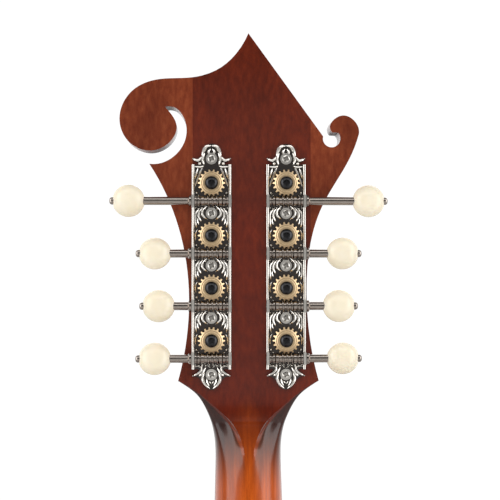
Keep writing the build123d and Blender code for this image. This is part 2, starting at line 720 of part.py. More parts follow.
with BuildPart() as bridge_base:
    with BuildSketch(Plane.XY.offset(BRIDGE_Z - 5.5)):
        with BuildLine():
            Line((-57, -18), (57, -18))
            Line((57, -18), (57, -27))
            Spline((57, -27), (48, -31.5), (38, -BASE_TOP), tangents=[(-0.6, -1), (-1, 0)])
            Line((38, -BASE_TOP), (-38, -BASE_TOP))
            Spline((-38, -BASE_TOP), (-48, -31.5), (-57, -27), tangents=[(-1, 0), (-0.6, 1)])
            Line((-57, -27), (-57, -18))
        make_face()
    extrude(amount=11)
    add(front_dome.moved(Location((0, -0.05, 0))), mode=Mode.SUBTRACT)
    with BuildSketch(Plane.XZ.offset(ARCH_TOP + 1.5)):
        with Locations((-STUD_X, BRIDGE_Z), (STUD_X, BRIDGE_Z)):
            Circle(STUD_RADIUS + 0.02)
    extrude(amount=10, mode=Mode.SUBTRACT)

with BuildPart() as bridge_saddle:
    with BuildSketch(Plane.YZ):
        Polygon((-SADDLE_BOTTOM, BRIDGE_Z - 2.8), (-SADDLE_TOP + 1.1, BRIDGE_Z - 2.5),
                (-SADDLE_TOP, BRIDGE_Z - 0.2), (-SADDLE_TOP, BRIDGE_Z + 0.2),
                (-SADDLE_TOP + 1.1, BRIDGE_Z + 2.5), (-SADDLE_BOTTOM, BRIDGE_Z + 2.8), align=None)
    extrude(amount=34, both=True)
    for side in sides:
        with BuildSketch(Plane.XZ.offset(SADDLE_TOP + 1)):
            with Locations((side * 31, BRIDGE_Z)):
                Rectangle(8, 8)
        extrude(amount=-4.2, mode=Mode.SUBTRACT)
    with BuildSketch(Plane.XZ.offset(SADDLE_BOTTOM - 1)):
        with Locations((-STUD_X, BRIDGE_Z), (STUD_X, BRIDGE_Z)):
            Circle(STUD_RADIUS + 0.1)
    extrude(amount=5.6, mode=Mode.SUBTRACT)

thumbwheels = {}
for side in sides:
    with BuildPart() as thumbwheel:
        with BuildSketch(Plane.XZ.offset(WHEEL_BOTTOM)):
            with Locations((side * STUD_X, BRIDGE_Z)):
                Circle(6.2)
                Circle(STUD_RADIUS + 0.05, mode=Mode.SUBTRACT)
                with PolarLocations(6.35, 36):
                    Circle(0.28, mode=Mode.SUBTRACT)
        extrude(amount=WHEEL_THICK)
    thumbwheels[side_names[side]] = thumbwheel

# ---------------------------------------------------------------- tailpiece

TAIL_Z = BODY_TOP - 296
HOOK_Z = TAIL_Z + 13
TAIL_DECK = 28.0
TAIL_SCREWS = [(-10, -6), (10, -6), (0, 13)]

with BuildPart() as tailpiece_base:
    with BuildSketch(Plane.XZ.offset(TAIL_DECK)):
        with Locations((0, TAIL_Z + 31)):
            Rectangle(33, 64.4)
    extrude(amount=1.2)
    with BuildSketch(Plane.XY.offset(TAIL_Z - 1.2)):
        with BuildLine():
            Line((-16.5, -TAIL_DECK - 1.2), (16.5, -TAIL_DECK - 1.2))
            Line((16.5, -TAIL_DECK - 1.2), (15, -8))
            Spline((15, -8), (11, 8), (0, 18), (-11, 8), (-15, -8), tangents=[(-0.2, 1), (-0.2, -1)])
            Line((-15, -8), (-16.5, -TAIL_DECK - 1.2))
        make_face()
        with Locations((0, 5)):
            Circle(3.5, mode=Mode.SUBTRACT)
        with Locations(TAIL_SCREWS):
            Circle(1.25, mode=Mode.SUBTRACT)
    extrude(amount=1.2)
    with BuildSketch(Plane.XZ.offset(TAIL_DECK)):
        with Locations([(side * (course + pair), HOOK_Z) for side in sides for course in (4.5, 13.2)
                        for pair in (-1.6, 1.6)]):
            Circle(0.8)
    extrude(amount=5.5)

with BuildPart() as tailpiece_cover:
    with BuildSketch(Plane.YZ):
        Polygon((-TAIL_DECK - 1.5, TAIL_Z - 2), (-TAIL_DECK - 8, TAIL_Z - 2),
                (-TAIL_DECK - 15, TAIL_Z + 70), (-TAIL_DECK - 5, TAIL_Z + 70),
                (-TAIL_DECK - 1.5, TAIL_Z + 60), align=None)
    extrude(amount=19.6, both=True)
    fillet(tailpiece_cover.edges().filter_by(Axis.X, reverse=True).sort_by(Axis.Y)[0:2], 3)
    with BuildSketch(Plane.YZ):
        Polygon((-TAIL_DECK, TAIL_Z - 0.8), (-TAIL_DECK - 6.8, TAIL_Z - 0.8),
                (-TAIL_DECK - 13.9, TAIL_Z + 71), (-TAIL_DECK, TAIL_Z + 71), align=None)
    extrude(amount=18.6, both=True, mode=Mode.SUBTRACT)

with BuildPart() as end_pin:
    with BuildSketch(Plane.YZ):
        with BuildLine():
            Polyline((5, TAIL_Z + 24), (8.4, TAIL_Z + 24), (8.4, TAIL_Z - 1.2), (10.6, TAIL_Z - 1.2),
                     (10.6, TAIL_Z - 3), (9.2, TAIL_Z - 5), (9.2, TAIL_Z - 7.5), (11.6, TAIL_Z - 9.5),
                     (11.6, TAIL_Z - 12.0))
            ThreePointArc((11.6, TAIL_Z - 12.0), (9.8, TAIL_Z - 13.7), (6, TAIL_Z - 14.4))
            Line((6, TAIL_Z - 14.4), (5, TAIL_Z - 14.4))
            Line((5, TAIL_Z - 14.4), (5, TAIL_Z + 24))
        make_face()
    revolve(axis=Axis((0, 5, 0), (0, 0, 1)))

# ---------------------------------------------------------------- strings

GAUGES = {1: (0.14, 0.14, 0.2, 0.2), -1: (0.5, 0.5, 0.33, 0.33)}   # string radii, outermost first
COURSES_AT_NUT = (10.7, 3.7)
COURSES_AT_SADDLE = (19.2, 6.4)
COURSES_AT_HOOKS = (13.2, 4.5)
WINDING_HEIGHT = 10.0       # where the strings meet their posts, in front of the headstock wood


def spread(courses, gap, string):
    """Distance of a string from the middle: course centre plus or minus half the pair's gap."""
    return courses[string // 2] + (gap, -gap)[string % 2]


def string_stops(side, string):
    """A string's tail hook, saddle, nut and winding start, in order; string 0 is the outermost."""
    radius = GAUGES[side][string]
    wrap = POST_WAIST + 0.15 + radius
    return [
        Vector(side * spread(COURSES_AT_HOOKS, 1.6, string), -TAIL_DECK - 3.6, HOOK_Z + 1.3),
        Vector(side * spread(COURSES_AT_SADDLE, 1.3, string), -SADDLE_TOP - 0.03 - 1.2 * radius,
               BRIDGE_Z),
        board_plane.from_local_coords(
            Vector(side * spread(COURSES_AT_NUT, 0.95, string), 0, 6.55 + radius)),
        head_plane.from_local_coords(
            Vector(side * (POST_X - wrap), POST_FIRST + POST_PITCH * string, WINDING_HEIGHT)),
    ]


def string_tube(side, string):
    """One string along its real route, with its windings as one ring round the post."""
    radius = GAUGES[side][string]
    stops = string_stops(side, string)
    with BuildPart() as tube:
        for near, far in zip(stops, stops[1:]):
            with BuildSketch(Plane(origin=near, z_dir=far - near)):
                Circle(radius)
            extrude(amount=(far - near).length)
        with Locations(stops[1:3]):
            Sphere(radius * 1.2)
        with BuildSketch(head_plane.offset(WINDING_HEIGHT + 1.5 * radius)):
            with Locations((side * POST_X, POST_FIRST + POST_PITCH * string)):
                Circle(POST_WAIST + 0.2 + 2 * radius)
                Circle(POST_WAIST + 0.1, mode=Mode.SUBTRACT)
        extrude(amount=-5.5 * radius - 0.4)
    return tube.part


treble_tubes = [string_tube(1, string) for string in range(4)]
bass_tubes = [string_tube(-1, string) for string in range(4)]
with BuildPart() as plain_strings:
    add(treble_tubes)
with BuildPart() as wound_strings:
    add(bass_tubes)

# slots in the nut, sloping down and fanning out toward the posts
with nut:
    for side in sides:
        for string in range(4):
            stops = string_stops(side, string)
            aim = stops[3] - stops[2]
            aim = aim - front_of_neck * aim.dot(front_of_neck)
            across = side * spread(COURSES_AT_NUT, 0.95, string)
            start = board_plane.from_local_coords(Vector(across, 0, 0))
            with BuildSketch(Plane(origin=start, x_dir=aim, z_dir=aim.cross(front_of_neck))):
                Polygon((-0.2, 6.4), (5.3, 4.9), (5.3, 8.5), (-0.2, 8.5), align=None)
            extrude(amount=GAUGES[side][string] + 0.2, both=True, mode=Mode.SUBTRACT)

# ---------------------------------------------------------------- screws

COVER_SCREWS = [(-7.6, 9), (7.6, 9), (0, 30)]
with BuildPart() as screws:
    # height-adjusting studs of the bridge
    with BuildSketch(Plane.XZ.offset(ARCH_TOP + 1.6)):
        with Locations((-STUD_X, BRIDGE_Z), (STUD_X, BRIDGE_Z)):
            Circle(STUD_RADIUS)
    extrude(amount=11.8)
    with BuildSketch(behind(CORE + PLATE)):
        with Locations(SCREW_SPOTS):
            Circle(2.5)
    extrude(amount=-1.4)
    fillet(screws.edges().group_by(Axis(head_start, front_of_head * -1))[-1], 1.35)
    # cross recesses
    with BuildSketch(behind(CORE + PLATE + 0.75)):
        with Locations(SCREW_SPOTS):
            Rectangle(2.7, 0.55, rotation=25)
            Rectangle(0.55, 2.7, rotation=25)
    extrude(amount=-1, mode=Mode.SUBTRACT)
    with BuildSketch(behind(CORE + PLATE)):
        with Locations(SCREW_SPOTS):
            Circle(1.2)
    extrude(amount=8)
    with BuildSketch(head_plane.offset(VENEER + 1.8)):
        with Locations(COVER_SCREWS):
            Circle(1.4)
    extrude(amount=0.9)
    with BuildSketch(head_plane.offset(VENEER + 1.8)):
        with Locations(COVER_SCREWS):
            Circle(0.8)
    extrude(amount=-6)
    with BuildSketch(Plane.XY.offset(TAIL_Z - 1.2)):
        with Locations(TAIL_SCREWS):
            Circle(2.4)
    extrude(amount=-1.2)
    with BuildSketch(Plane.XY.offset(TAIL_Z - 1.2)):
        with Locations(TAIL_SCREWS):
            Circle(1.2)
    extrude(amount=14)

for piece in (neck, headstock_overlay, truss_rod_cover):
    with piece:
        with BuildSketch(head_plane.offset(VENEER + 1.8)):
            with Locations(COVER_SCREWS):
                Circle(0.82)
        extrude(amount=-6.2, mode=Mode.SUBTRACT)
for piece in (ribs, rib_blocks):
    with piece:
        with BuildSketch(Plane.XY.offset(TAIL_Z - 1.2)):
            with Locations(TAIL_SCREWS):
                Circle(1.22)
        extrude(amount=14.2, mode=Mode.SUBTRACT)

# ---------------------------------------------------------------- saved parts

save(soundboard, "soundboard")
save(back_plate, "back_plate")
save(ribs, "ribs")
save(rib_blocks, "rib_blocks")
save(linings, "linings")
save(tone_bars, "tone_bars")
save(binding, "binding")
save(neck, "neck")
save(headstock_wings, "headstock_wings")
save(headstock_overlay, "headstock_overlay")
save(truss_rod, "truss_rod")
save(truss_rod_cover, "truss_rod_cover")
save(nut, "nut")
save(fingerboard, "fingerboard")
save(frets, "frets")
save(position_dots, "position_dots")
save(bridge_base, "bridge_base")
save(bridge_saddle, "bridge_saddle")
save(thumbwheels["bass"], "thumbwheel_bass")
save(thumbwheels["treble"], "thumbwheel_treble")
save(tailpiece_base, "tailpiece_base")
save(tailpiece_cover, "tailpiece_cover")
save(end_pin, "end_pin")
save(plain_strings, "plain_strings")
save(wound_strings, "wound_strings")
save(tuner_plates, "tuner_plates")
save(post_bushings, "post_bushings")
save(screws, "screws")
for name in worm_shafts:
    save(worm_shafts[name], "worm_shaft_" + name)
    save(buttons[name], "button_" + name)
    save(gears[name], "gear_" + name)
    save(string_posts[name], "string_post_" + name)
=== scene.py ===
"""The looks of the scroll mandolin: finishes, tuner plate relief, strings, light and camera."""
import bmesh
import bpy
import json
from math import cos, pi, radians, sin, sqrt
from mathutils import Matrix, Vector


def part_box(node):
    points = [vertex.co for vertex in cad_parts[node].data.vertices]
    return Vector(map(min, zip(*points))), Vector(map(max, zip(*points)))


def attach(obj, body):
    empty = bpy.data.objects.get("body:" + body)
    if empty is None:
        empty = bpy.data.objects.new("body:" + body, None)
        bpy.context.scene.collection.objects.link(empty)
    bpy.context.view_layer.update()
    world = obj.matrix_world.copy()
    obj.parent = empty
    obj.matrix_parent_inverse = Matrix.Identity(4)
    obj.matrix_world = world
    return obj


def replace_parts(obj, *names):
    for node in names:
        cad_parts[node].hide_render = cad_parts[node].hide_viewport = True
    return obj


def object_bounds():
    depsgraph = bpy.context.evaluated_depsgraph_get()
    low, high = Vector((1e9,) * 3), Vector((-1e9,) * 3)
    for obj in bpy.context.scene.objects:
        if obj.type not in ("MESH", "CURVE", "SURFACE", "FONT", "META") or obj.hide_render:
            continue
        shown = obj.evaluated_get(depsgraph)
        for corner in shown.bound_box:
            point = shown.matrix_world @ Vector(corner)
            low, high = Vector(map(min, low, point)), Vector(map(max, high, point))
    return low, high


MM = 0.001
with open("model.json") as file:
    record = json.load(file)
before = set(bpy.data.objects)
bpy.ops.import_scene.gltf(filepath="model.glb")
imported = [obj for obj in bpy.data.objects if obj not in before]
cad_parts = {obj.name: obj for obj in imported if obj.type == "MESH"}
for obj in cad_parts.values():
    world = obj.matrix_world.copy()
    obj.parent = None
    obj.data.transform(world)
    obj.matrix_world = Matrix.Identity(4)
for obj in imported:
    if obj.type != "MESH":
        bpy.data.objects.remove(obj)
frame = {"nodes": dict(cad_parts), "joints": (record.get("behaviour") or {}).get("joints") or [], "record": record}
cad_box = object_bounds()
nodes = frame["nodes"]
joints = {joint["name"]: joint for joint in frame["joints"]}

# ---------------------------------------------------------------- places from the frame

SIDES = (("treble", 1), ("bass", -1))
ROWS = (1, 2, 3, 4)
first_post = joints["post_turn_treble_1"]
RIGHT = Vector((1, 0, 0))
BACK = Vector(first_post["axis"]).normalized()      # out of the headstock's back
UP = RIGHT.cross(BACK)                              # up the headstock
POST_X = first_post["pos_m"][0] / MM
middle = Vector((0, first_post["pos_m"][1], first_post["pos_m"][2]))
post_up = [(Vector(joints[f"post_turn_treble_{row}"]["pos_m"]) - middle).dot(UP) / MM for row in ROWS]
POST_FIRST = 44.1           # the first posts' distance up from the nut
PLATE_OUT = -2.9            # the tuner plates' back faces
WOOD_OUT = -3.9             # the headstock's back face


def spot(across, up, out=0.0):
    """Point in metres, from mm across the headstock, up from the first posts and behind the worms."""
    return middle + (RIGHT * across + UP * up + BACK * out) * MM


# ---------------------------------------------------------------- shape of the carved neck

NUT_DEEP = 5.0
NECK_TILT = 6
HEAD_TILT = 21
# distance up from the nut, lean, half width, crest half width, side height, depth, flank bulge, scoop
NECK_STATIONS = (
    (26, 21.0, 31.0, 30.6, 12.5, 13.0, 0.0, 0.0),
    (21, 20.4, 23.4, 22.4, 10.8, 13.0, 0.0, 0.3),
    (16, 18.0, 20.0, 17.2, 7.6, 13.2, -0.2, 1.2),
    (10, 13.5, 17.5, 11.3, 4.6, 14.2, -0.2, 1.9),
    (4, 9.5, 15.7, 6.3, 3.2, 15.2, 0.3, 1.8),
    (-3, 7.0, 14.6, 3.3, 2.3, 15.5, 1.4, 1.2),
    (-10, 6.0, 14.5, 1.7, 1.7, 15.5, 2.6, 0.5),
    (-22, 6.0, 14.8, 1.5, 1.4, 15.6, 3.6, 0.0),
    (-40, 6.0, 15.2, 1.5, 1.4, 15.8, 3.8, 0.0),
    (-65, 6.0, 15.8, 1.6, 1.4, 16.1, 3.9, 0.0),
    (-100, 6.0, 16.6, 1.6, 1.4, 16.6, 4.0, 0.0),
    (-138, 6.0, 17.5, 1.6, 1.4, 17.1, 4.1, 0.0),
)
CREST_WIDEST = 32.0
CREST_BOTTOM = -40          # the stained hollows follow the crest between these distances from the nut
CREST_TOP = 26
# the crest's half width as a share of the widest, against height as a share of that span
CREST_STOPS = tuple(((row[0] - CREST_BOTTOM) / (CREST_TOP - CREST_BOTTOM), (row[3] / CREST_WIDEST,) * 3)
                    for row in reversed(NECK_STATIONS) if row[0] >= CREST_BOTTOM)

# ---------------------------------------------------------------- material helpers

def new_material(name):
    material = bpy.data.materials.new(name)
    material.use_nodes = True
    return material, material.node_tree.nodes, material.node_tree.links, \
        material.node_tree.nodes["Principled BSDF"]


def coordinates(tree_nodes, links, scale, turn=(0, 0, 0)):
    """Row-frame coordinates turned and stretched for a texture."""
    source = tree_nodes.new("ShaderNodeTexCoord")
    mapping = tree_nodes.new("ShaderNodeMapping")
    mapping.vector_type = "POINT"
    mapping.inputs["Rotation"].default_value = turn
    mapping.inputs["Scale"].default_value = scale
    links.new(source.outputs["Object"], mapping.inputs["Vector"])
    return mapping.outputs["Vector"]


def noise(tree_nodes, links, vector, scale, detail=4.0, rough=0.55):
    texture = tree_nodes.new("ShaderNodeTexNoise")
    texture.inputs["Scale"].default_value = scale
    texture.inputs["Detail"].default_value = detail
    texture.inputs["Roughness"].default_value = rough
    links.new(vector, texture.inputs["Vector"])
    return texture.outputs["Fac"]


def ramp(tree_nodes, links, value, stops):
    node = tree_nodes.new("ShaderNodeValToRGB")
    elements = node.color_ramp.elements
    while len(elements) < len(stops):
        elements.new(0.5)
    for element, (place, colour) in zip(elements, stops):
        element.position = place
        element.color = (*colour, 1)
    links.new(value, node.inputs["Fac"])
    return node.outputs["Color"]


def spread(tree_nodes, links, value, low, high):
    """Maps a 0 to 1 texture value to a range."""
    node = tree_nodes.new("ShaderNodeMapRange")
    node.inputs["To Min"].default_value = low
    node.inputs["To Max"].default_value = high
    links.new(value, node.inputs["Value"])
    return node.outputs["Result"]


def mixed(tree_nodes, links, factor, first, second, how="MIX"):
    node = tree_nodes.new("ShaderNodeMix")
    node.data_type = "RGBA"
    node.blend_type = how
    for value, socket in ((factor, 0), (first, 6), (second, 7)):
        if isinstance(value, (float, int)):
            node.inputs[socket].default_value = value
        elif isinstance(value, tuple):
            node.inputs[socket].default_value = (*value, 1)
        else:
            links.new(value, node.inputs[socket])
    return node.outputs[2]


def bump(tree_nodes, links, shader, height, strength, distance):
    node = tree_nodes.new("ShaderNodeBump")
    node.inputs["Strength"].default_value = strength
    node.inputs["Distance"].default_value = distance
    links.new(height, node.inputs["Height"])
    links.new(node.outputs["Normal"], shader.inputs["Normal"])


def along(tree_nodes, links, axis):
    """Row-frame position along an axis, in metres."""
    source = tree_nodes.new("ShaderNodeTexCoord")
    product = tree_nodes.new("ShaderNodeVectorMath")
    product.operation = "DOT_PRODUCT"
    product.inputs[1].default_value = axis
    links.new(source.outputs["Object"], product.inputs[0])
    return product.outputs["Value"]


def calculated(tree_nodes, links, operation, first, second=0.0):
    node = tree_nodes.new("ShaderNodeMath")
    node.operation = operation
    for value, socket in ((first, 0), (second, 1)):
        if isinstance(value, (float, int)):
            node.inputs[socket].default_value = value
        else:
            links.new(value, node.inputs[socket])
    return node.outputs["Value"]


def step_up(tree_nodes, links, value, start, end):
    """0 below start and 1 above end, with a smooth rise between them."""
    node = tree_nodes.new("ShaderNodeMapRange")
    node.interpolation_type = "SMOOTHSTEP"
    node.inputs["From Min"].default_value = start
    node.inputs["From Max"].default_value = end
    links.new(value, node.inputs["Value"])
    return node.outputs["Result"]


# ---------------------------------------------------------------- finishes

HEAD_TURN = (radians(-HEAD_TILT), 0, 0)   # turns a texture with the headstock


def stained_wood(name, dark, mid, light, turn=(0, 0, 0), grain=(520, 520, 26), coat=0.35, rough=0.36):
    """Stained maple under satin lacquer: long soft grain, fine pores and slow colour drift."""
    material, tree, links, shader = new_material(name)
    place = coordinates(tree, links, grain, turn)
    streaks = noise(tree, links, place, 1.0, 6.0, 0.6)
    slow = noise(tree, links, coordinates(tree, links, (30, 30, 14), turn), 1.0, 3.0, 0.5)
    pores = noise(tree, links, coordinates(tree, links, (5200, 5200, 420), turn), 1.0, 2.0, 0.5)
    base = ramp(tree, links, streaks, ((0.28, dark), (0.5, mid), (0.74, light)))
    drift = ramp(tree, links, slow, ((0.3, (0.62, 0.56, 0.54)), (0.7, (1.25, 1.25, 1.2))))
    colour = mixed(tree, links, 1.0, base, drift, "MULTIPLY")
    specks = ramp(tree, links, pores, ((0.3, (0.78, 0.74, 0.72)), (0.5, (1, 1, 1))))
    links.new(mixed(tree, links, 0.6, colour, specks, "MULTIPLY"), shader.inputs["Base Color"])
    links.new(spread(tree, links, streaks, rough - 0.05, rough + 0.1), shader.inputs["Roughness"])
    shader.inputs["Coat Weight"].default_value = coat
    shader.inputs["Coat Roughness"].default_value = 0.16
    shader.inputs["Specular IOR Level"].default_value = 0.05
    bump(tree, links, shader, pores, 0.08, 0.0002)
    return material, tree, links, shader


def metal(name, colour, rough, scale=900, crevice_shade_and_tarnish=0.45):
    """Plated metal with slight wear, a fine uneven surface, and painted shade with tarnish darkening its crevices.
    """
    material, tree, links, shader = new_material(name)
    wear = noise(tree, links, coordinates(tree, links, (scale, scale, scale)), 1.0, 5.0, 0.6)
    # painted shade: the colour darkens where the surface is enclosed, as shade would fall there, together with
    # tarnish in the crevices
    crevice = tree.new("ShaderNodeAmbientOcclusion")
    crevice.samples = 6
    crevice.inputs["Distance"].default_value = 0.6 * MM
    painted_crevice_shade = ramp(tree, links, crevice.outputs["AO"],
                 ((0.25, (crevice_shade_and_tarnish * 0.3, crevice_shade_and_tarnish * 0.27, crevice_shade_and_tarnish * 0.24)), (0.85, (1, 1, 1))))
    tone = ramp(tree, links, wear, ((0.3, tuple(0.86 * part for part in colour)), (0.65, colour)))
    links.new(mixed(tree, links, 1.0, tone, painted_crevice_shade, "MULTIPLY"), shader.inputs["Base Color"])
    links.new(spread(tree, links, wear, rough - 0.05, rough + 0.09), shader.inputs["Roughness"])
    shader.inputs["Metallic"].default_value = 1.0
    bump(tree, links, shader, wear, 0.05, 0.0002)
    return material, tree, links, shader


def plastic(name, colour, other, rough, scale=140, subsurface=0.0):
    """Moulded plastic or bone with faint swirls."""
    material, tree, links, shader = new_material(name)
    swirl = noise(tree, links, coordinates(tree, links, (scale, scale, scale)), 1.0, 3.0, 0.5)
    links.new(ramp(tree, links, swirl, ((0.35, colour), (0.7, other))), shader.inputs["Base Color"])
    links.new(spread(tree, links, swirl, rough - 0.04, rough + 0.06), shader.inputs["Roughness"])
    shader.inputs["Subsurface Weight"].default_value = subsurface
    shader.inputs["Subsurface Radius"].default_value = (1.0, 0.75, 0.5)
    shader.inputs["Subsurface Scale"].default_value = 0.002
    return material, tree, links, shader


def base_colour_link(shader):
    return shader.inputs["Base Color"].links[0].from_socket


NICKEL = (0.80, 0.77, 0.72)
finishes = {}

core, tree, links, shader = stained_wood(
    "neck_wood", (0.088, 0.010, 0.0022), (0.125, 0.0142, 0.003), (0.168, 0.0215, 0.0045), HEAD_TURN,
    rough=0.3)
height = along(tree, links, tuple(UP))
off_middle = calculated(tree, links, "ABSOLUTE", along(tree, links, (1, 0, 0)))
# the stain is redder below the scroll
low = step_up(tree, links, height, spot(0, 100).dot(UP), spot(0, 30).dot(UP))
low_tone = mixed(tree, links, 1.0, base_colour_link(shader), (1.03, 0.82, 0.5), "MULTIPLY")
links.new(mixed(tree, links, low, base_colour_link(shader), low_tone), shader.inputs["Base Color"])
# the stain fades to amber down the neck, and first along the neck's middle line
bent = calculated(tree, links, "MULTIPLY_ADD", off_middle, 1.1)
links.new(height, bent.node.inputs[2])
amber = step_up(tree, links, bent, middle.dot(UP) - 54 * MM, middle.dot(UP) - 20 * MM)
amber_tone = mixed(tree, links, 1.0, base_colour_link(shader), (3.4, 6.2, 3.6), "MULTIPLY")
stain = mixed(tree, links, amber, amber_tone, base_colour_link(shader))
# the hollows outside the crest's edges are stained almost black
crest_span = step_up(tree, links, height, spot(0, CREST_BOTTOM - POST_FIRST).dot(UP),
                     spot(0, CREST_TOP - POST_FIRST).dot(UP))
crest_span.node.interpolation_type = "LINEAR"
crest = ramp(tree, links, crest_span, CREST_STOPS)
crest_half = calculated(tree, links, "MULTIPLY", crest, CREST_WIDEST * MM)
past_crest = calculated(tree, links, "SUBTRACT", off_middle, crest_half)
hollow = step_up(tree, links, past_crest, -0.2 * MM, 0.9 * MM)
fade = step_up(tree, links, height, spot(0, -66).dot(UP), spot(0, -40).dot(UP))
hollow = calculated(tree, links, "MULTIPLY", hollow, fade)
hollow_tone = mixed(tree, links, 1.0, stain, (0.28, 0.4, 0.7), "MULTIPLY")
links.new(mixed(tree, links, hollow, stain, hollow_tone), shader.inputs["Base Color"])
shader.inputs["Coat Weight"].default_value = 0.8
shader.inputs["Sheen Weight"].default_value = 0.8
shader.inputs["Sheen Roughness"].default_value = 0.3
finishes["neck_wood"] = core

wing, tree, links, shader = stained_wood(
    "wing_wood", (0.16, 0.028, 0.011), (0.22, 0.043, 0.016), (0.285, 0.065, 0.024), HEAD_TURN, rough=0.3)
# the wings' stain darkens to the core's toward the headstock's lower corners
corner = step_up(tree, links, along(tree, links, tuple(UP)), middle.dot(UP) - 16 * MM,
                 middle.dot(UP) + 26 * MM)
corner_tone = mixed(tree, links, 1.0, base_colour_link(shader), (0.62, 0.5, 0.6), "MULTIPLY")
links.new(mixed(tree, links, corner, corner_tone, base_colour_link(shader)), shader.inputs["Base Color"])
finishes["wing_wood"] = wing

finishes["maple_back"] = stained_wood(
    "maple_back", (0.13, 0.026, 0.008), (0.22, 0.05, 0.014), (0.34, 0.10, 0.03), (0, 0, 0),
    (60, 60, 320))[0]
finishes["maple_ribs"] = stained_wood(
    "maple_ribs", (0.08, 0.016, 0.007), (0.13, 0.028, 0.010), (0.2, 0.05, 0.018), (0, 0, 0),
    (60, 60, 320))[0]

spruce, tree, links, shader = stained_wood(
    "spruce_top", (0.26, 0.075, 0.018), (0.38, 0.125, 0.03), (0.5, 0.19, 0.055), (0, 0, 0),
    (900, 60, 8))
finishes["spruce_top"] = spruce
finishes["inner_wood"] = stained_wood(
    "inner_wood", (0.42, 0.27, 0.14), (0.52, 0.36, 0.2), (0.62, 0.46, 0.28), coat=0.0, rough=0.6)[0]
finishes["ebony"] = stained_wood(
    "ebony", (0.010, 0.007, 0.006), (0.018, 0.012, 0.010), (0.035, 0.022, 0.017), coat=0.05,
    rough=0.4)[0]
finishes["black_veneer"] = stained_wood(
    "black_veneer", (0.008, 0.007, 0.007), (0.012, 0.010, 0.010), (0.02, 0.017, 0.016), HEAD_TURN,
    coat=0.5, rough=0.25)[0]
finishes["steel_rod"] = metal("steel_rod", (0.55, 0.55, 0.56), 0.35)[0]
finishes["fret_nickel"] = metal("fret_nickel", NICKEL, 0.22)[0]
finishes["nickel"] = metal("nickel", NICKEL, 0.16)[0]
# the shafts' nickel is a darker copy of the plates' nickel: painted shade standing in for the dark reflections
# along the shafts
finishes["nickel_shaft"] = metal("nickel_shaft", (0.42, 0.37, 0.33), 0.12)[0]
finishes["gear_brass"] = metal("gear_brass", (0.78, 0.58, 0.35), 0.4, crevice_shade_and_tarnish=0.5)[0]
finishes["steel_string"] = metal("steel_string", (0.72, 0.72, 0.72), 0.25)[0]
finishes["bronze_string"] = metal("bronze_string", (0.70, 0.46, 0.24), 0.32)[0]
finishes["cream_button"] = plastic(
    "cream_button", (0.98, 0.87, 0.67), (1.0, 0.90, 0.72), 0.22, subsurface=0.15)[0]
finishes["bone"] = plastic("bone", (0.82, 0.76, 0.6), (0.87, 0.82, 0.68), 0.38)[0]
finishes["pearl"] = plastic("pearl", (0.78, 0.8, 0.78), (0.9, 0.86, 0.88), 0.15, scale=420)[0]
finishes["cream_binding"] = plastic("cream_binding", (0.78, 0.70, 0.50), (0.85, 0.78, 0.6), 0.35)[0]
finishes["black_plastic"] = plastic("black_plastic", (0.012, 0.012, 0.012), (0.02, 0.02, 0.02), 0.18)[0]

# gear screws are black: the part of each post's metal that stands out behind its gear
post_metal, tree, links, shader = metal("nickel_post", NICKEL, 0.2)
SCREW_OUT = 1.75            # where the gear screws' black heads start, behind the worms' axes
black_part = step_up(tree, links, along(tree, links, tuple(BACK)), middle.dot(BACK) + SCREW_OUT * MM,
                     middle.dot(BACK) + (SCREW_OUT + 0.1) * MM)
links.new(mixed(tree, links, black_part, base_colour_link(shader), (0.04, 0.04, 0.042)),
          shader.inputs["Base Color"])
finishes["nickel_post"] = post_metal

# the plates' floors between the bright rails and lugs are painted dark: painted shade standing in for the shade
# and dark reflections there
plate_metal, tree, links, shader = metal("nickel_plate", NICKEL, 0.17)
painted_shade_floor = step_up(tree, links, along(tree, links, tuple(BACK)),
                     middle.dot(BACK) + (PLATE_OUT + 0.06) * MM, middle.dot(BACK) + (PLATE_OUT + 0.3) * MM)
links.new(mixed(tree, links, painted_shade_floor, (0.09, 0.08, 0.075), base_colour_link(shader)),
          shader.inputs["Base Color"])
finishes["nickel_plate"] = plate_metal

slot_of = {row["node"]: row["material_slot"] for row in frame["record"]["subparts"]}
for name, node in nodes.items():
    node.data.materials.clear()
    node.data.materials.append(finishes[slot_of[name]])

# ---------------------------------------------------------------- carved neck

RINGS_PER_STATION = 8
FLANK_STEPS = 14
CREST_STEPS = 4
BODY_EDGE = -0.137          # below this height the neck runs into its heel, in metres
SOFT_EDGE = radians(30)


def lean(tilt):
    return Vector((0, sin(radians(tilt)), cos(radians(tilt))))


def soft_line(points, steps):
    """Points along a uniform B-spline that starts and ends on the first and last of its points."""
    ends = [points[0] * 2 - points[1]] + list(points) + [points[-1] * 2 - points[-2]]
    line = []
    for span in range(len(points) - 1):
        a, b, c, d = ends[span:span + 4]
        for step in range(steps + (span == len(points) - 2)):
            t = step / steps
            line.append((a * (1 - t) ** 3 + b * (3 * t ** 3 - 6 * t ** 2 + 4)
                         + c * (1 + 3 * t + 3 * t ** 2 - 3 * t ** 3) + d * t ** 3) / 6)
    return line


